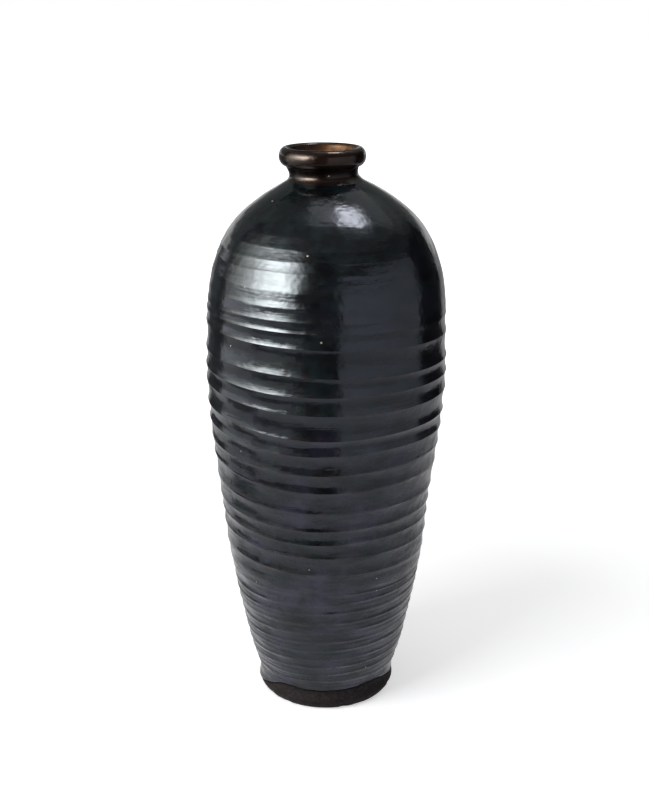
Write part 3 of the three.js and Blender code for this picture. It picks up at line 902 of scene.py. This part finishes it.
def studio_floor():
    """A matt white floor, 12 m square, that clips to white in the lamps and keeps the shadow. From
    0.45 to 0.9 m from the vase it turns into the plain white background, and within 0.5 m it shows
    brighter in the vase's gloss."""
    mesh = bpy.data.meshes.new("studio_floor")
    corners = [(x * FLOOR_HALF, y * FLOOR_HALF, 0) for x, y in ((-1, -1), (1, -1), (1, 1), (-1, 1))]
    mesh.from_pydata(corners, [], [(0, 1, 2, 3)])
    obj = bpy.data.objects.new("studio_floor", mesh)
    bpy.context.scene.collection.objects.link(obj)
    material, tree = blank_material("matt_white_board")
    matt = add(tree, "ShaderNodeBsdfDiffuse", Color=to_linear("#f6f7f8"))
    path = add(tree, "ShaderNodeLightPath").outputs
    place = add(tree, "ShaderNodeTexCoord").outputs["Object"]
    away = add(tree, "ShaderNodeVectorMath", {"operation": "LENGTH"}, i0=place).outputs["Value"]
    far = add(tree, "ShaderNodeMapRange", Value=away, From_Min=0.45, From_Max=0.9,
              To_Min=0.48, To_Max=1.0).outputs[0]
    near = add(tree, "ShaderNodeMapRange", Value=away, From_Min=0.2, From_Max=0.5,
               To_Min=0.36, To_Max=0.0).outputs[0]
    lift = add(tree, "ShaderNodeMath", {"operation": "MULTIPLY"}, i0=path["Is Camera Ray"],
               i1=far).outputs[0]
    lift = add(tree, "ShaderNodeMath", {"operation": "MULTIPLY_ADD"}, i0=path["Is Glossy Ray"],
               i1=near, i2=lift).outputs[0]
    glow = add(tree, "ShaderNodeEmission", Color=(1, 1, 1, 1), Strength=lift)
    both = add(tree, "ShaderNodeAddShader", i0=matt.outputs[0], i1=glow.outputs[0])
    add(tree, "ShaderNodeOutputMaterial", Surface=both.outputs[0])
    mesh.materials.append(material)
    return obj


def studio_card(name, start, end, low, high, brightness, tint):
    """A card that curves round the vase: radius and height run straight from its lower edge to its
    upper one while the angle runs from start to end. Only glossy rays see it. The softbox is bright
    in the middle and fades to its sides, its top and its rounded lower edge, and the grey panel
    fades to its right and its top."""
    angle = np.radians(np.linspace(start, end, CARD_POINTS))[None, :]
    share = np.linspace(0, 1, CARD_POINTS)[:, None]
    radius = low[0] + (high[0] - low[0]) * share
    height = low[1] + (high[1] - low[1]) * share
    points = swung(radius, height, angle)
    faces = grid_faces(CARD_POINTS, CARD_POINTS)
    mesh = bpy.data.meshes.new(name)
    mesh.from_pydata(points.reshape(-1, 3).tolist(), [], faces.tolist())
    shine = np.ones((CARD_POINTS, CARD_POINTS))
    degrees = np.degrees(angle)
    if name == "grey_panel_right":
        shine = line(PANEL_ACROSS, degrees) * (1 - 0.5 * ramp(height, *PANEL_FADING))
    if name == "softbox_left":
        risen = line(SOFTBOX_RISE, degrees) * ramp(height, *SOFTBOX_RISING)
        angles_at, low_shares, high_shares = zip(*SOFTBOX_ACROSS)
        up = ramp(height, *SOFTBOX_TURNING)
        shine = np.interp(degrees, angles_at, low_shares) * (1 - up)
        shine = shine + np.interp(degrees, angles_at, high_shares) * up
        shine = shine * line(SOFTBOX_UP, height - risen)
    mesh.attributes.new("shine", "FLOAT", "POINT").data.foreach_set(
        "value", shine.astype(np.float32).ravel()
    )
    obj = bpy.data.objects.new(name, mesh)
    bpy.context.scene.collection.objects.link(obj)
    material, tree = blank_material(name)
    shone = add(tree, "ShaderNodeAttribute", {"attribute_name": "shine"}).outputs["Fac"]
    level = add(tree, "ShaderNodeMath", {"operation": "MULTIPLY"}, i0=shone, i1=float(brightness))
    glow = add(tree, "ShaderNodeEmission", Color=to_linear(tint), Strength=level.outputs[0])
    add(tree, "ShaderNodeOutputMaterial", Surface=glow.outputs[0])
    mesh.materials.append(material)
    obj.visible_camera = obj.visible_diffuse = obj.visible_shadow = False
    obj.visible_transmission = obj.visible_volume_scatter = False
    return obj


def lamp(name, place, aim, width, tall, brightness):
    """A rectangular lamp of one brightness against white: its power is pi times that times its
    area."""
    light = bpy.data.lights.new(name, "AREA")
    light.shape = "RECTANGLE"
    light.size, light.size_y = width, tall
    light.energy = pi * brightness * width * tall
    obj = bpy.data.objects.new(name, light)
    obj.location = place
    away = Vector(place) - Vector(aim)
    obj.rotation_euler = away.to_track_quat("Z", "Y").to_euler()
    bpy.context.scene.collection.objects.link(obj)
    return obj


def white_world():
    """White where the camera, gloss or glass looks past everything, and a soft fill elsewhere."""
    world = bpy.data.worlds.new("white_studio")
    world.use_nodes = True
    tree = world.node_tree
    tree.nodes.clear()
    path = add(tree, "ShaderNodeLightPath").outputs
    seen = add(tree, "ShaderNodeMath", {"operation": "MAXIMUM"}, i0=path["Is Camera Ray"],
               i1=path["Is Glossy Ray"]).outputs[0]
    seen = add(tree, "ShaderNodeMath", {"operation": "MAXIMUM"}, i0=seen,
               i1=path["Is Transmission Ray"]).outputs[0]
    level = add(tree, "ShaderNodeMapRange", Value=seen, To_Min=0.4, To_Max=1.0).outputs[0]
    sky = add(tree, "ShaderNodeBackground", Color=(1, 1, 1, 1), Strength=level)
    add(tree, "ShaderNodeOutputWorld", Surface=sky.outputs[0])
    bpy.context.scene.world = world


class VASE_OT_studio(bpy.types.Operator):
    """Pale floor, white background, lamps, softbox, cards and camera"""

    bl_idname = "vase.studio"
    bl_label = "Studio"

    def execute(self, context):
        studio_floor()
        for card in CARDS:
            studio_card(*card)
        white_world()
        # the key lamp at the front left, a smaller one over the right shoulder and a dim one above
        key, overhead, dim = (lamp(*given) for given in LAMPS)
        key.visible_camera = overhead.visible_camera = dim.visible_camera = False
        key.visible_glossy = overhead.visible_diffuse = False
        camera = bpy.data.cameras.new("photo_camera")
        camera.lens = CAMERA_LENS
        camera.shift_x = CAMERA_SHIFT
        holder = bpy.data.objects.new("photo_camera", camera)
        holder.location = CAMERA_PLACE
        holder.rotation_euler = (radians(90 - CAMERA_DIP), 0, 0)
        context.scene.collection.objects.link(holder)
        context.scene.camera = holder
        context.scene.view_settings.view_transform = "Standard"
        return {"FINISHED"}


BUILDERS = [VASE_OT_foot, VASE_OT_lower_body, VASE_OT_upper_body, VASE_OT_shoulder, VASE_OT_neck,
            VASE_OT_lip, VASE_OT_specks, VASE_OT_studio]


class VASE_PT_panel(bpy.types.Panel):
    """Lists the vase's sizes, colours and builders"""

    bl_idname = "VASE_PT_panel"
    bl_label = "Ridged bottle vase"
    bl_space_type = "VIEW_3D"
    bl_region_type = "UI"
    bl_category = "Vase"

    def draw(self, context):
        column = self.layout.column()
        for group in (context.scene.vase_sizes, context.scene.vase_colours):
            for name in group.__annotations__:
                column.prop(group, name)
        for builder in BUILDERS:
            column.operator(builder.bl_idname)


CLASSES = [VaseSizes, VaseColours, *BUILDERS, VASE_PT_panel]


def register():
    """Registers the classes and hangs the sizes and colours on the scene."""
    for made in CLASSES:
        bpy.utils.register_class(made)
    bpy.types.Scene.vase_sizes = PointerProperty(type=VaseSizes)
    bpy.types.Scene.vase_colours = PointerProperty(type=VaseColours)


def unregister():
    """Takes the classes and the scene's groups away again."""
    del bpy.types.Scene.vase_sizes
    del bpy.types.Scene.vase_colours
    for made in reversed(CLASSES):
        bpy.utils.unregister_class(made)


def main():
    """Builds every piece and the studio."""
    register()
    for builder in BUILDERS:
        family, action = builder.bl_idname.split(".")
        getattr(getattr(bpy.ops, family), action)()


if __name__ == "__main__":
    main()
